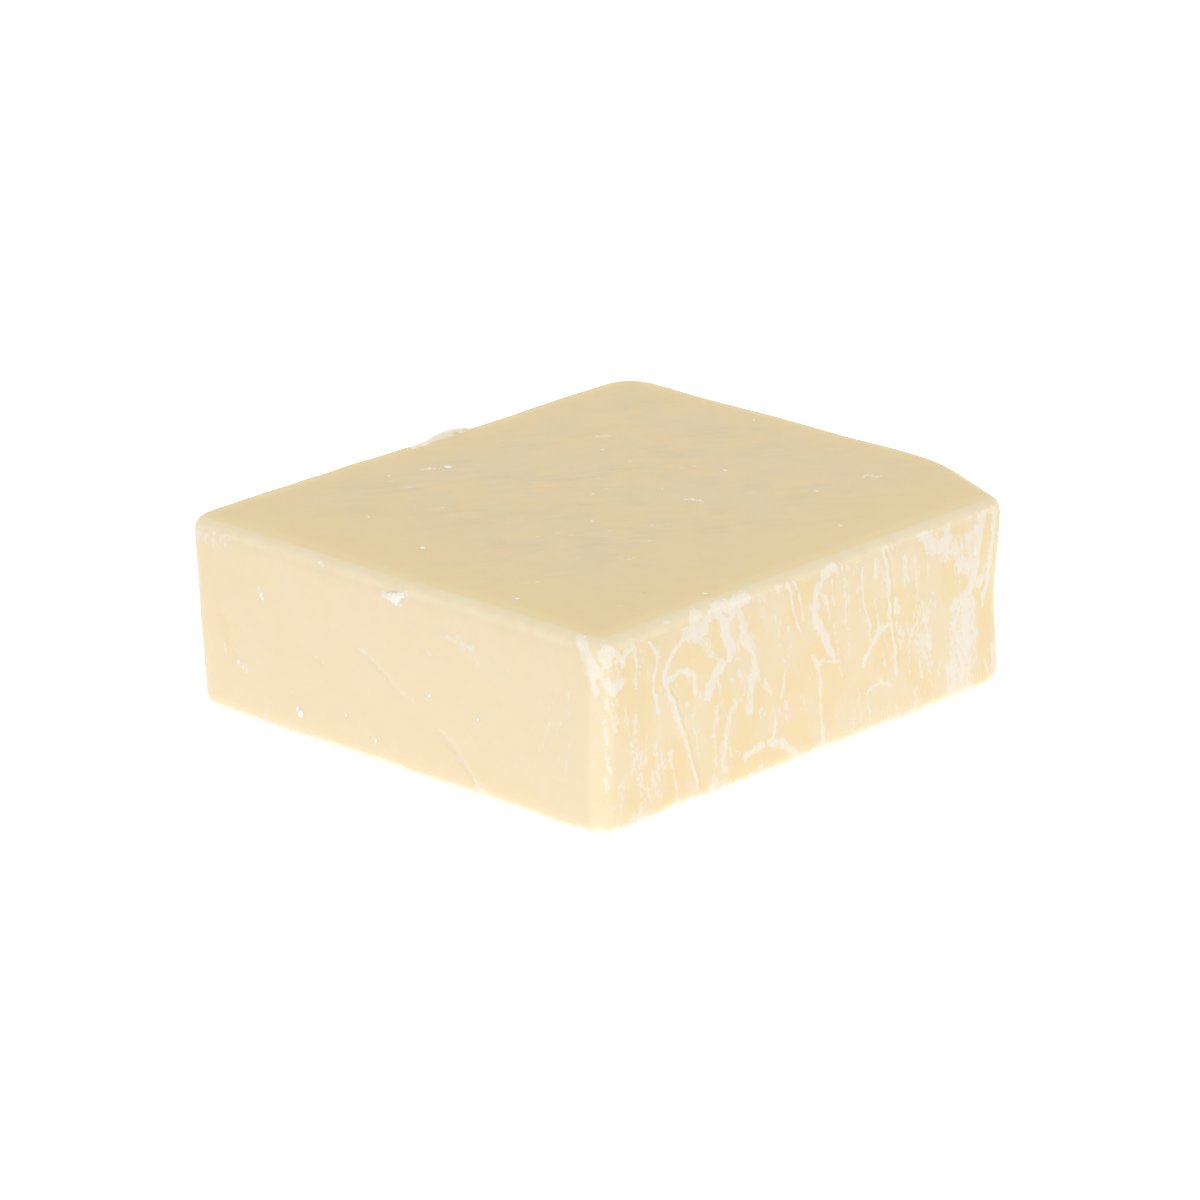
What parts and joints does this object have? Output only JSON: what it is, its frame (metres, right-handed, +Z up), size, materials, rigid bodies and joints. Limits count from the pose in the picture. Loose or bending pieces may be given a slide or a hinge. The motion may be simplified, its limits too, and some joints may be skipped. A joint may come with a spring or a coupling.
{
  "type": "block of cheddar cheese",
  "caption": "Pale rectangular block of cheddar cheese with soft rims, a sliced-off corner and a small lip on its top edge.",
  "frame": {"origin": "middle of the underside's bounding rectangle, on the surface that the block lies on", "axes": "+Z up, +X out of the side with the whitish film, -Y out of the smooth side, the sliced corner at +X +Y"},
  "size_m": [0.1054, 0.122, 0.0383],
  "materials": {
    "cheese": "pale cream-yellow cheese, waxy satin, slightly translucent, with a whitish film on one cut side"
  },
  "bodies": {
    "root": {"cheddar_block": "cheese"}
  },
  "joints": []
}
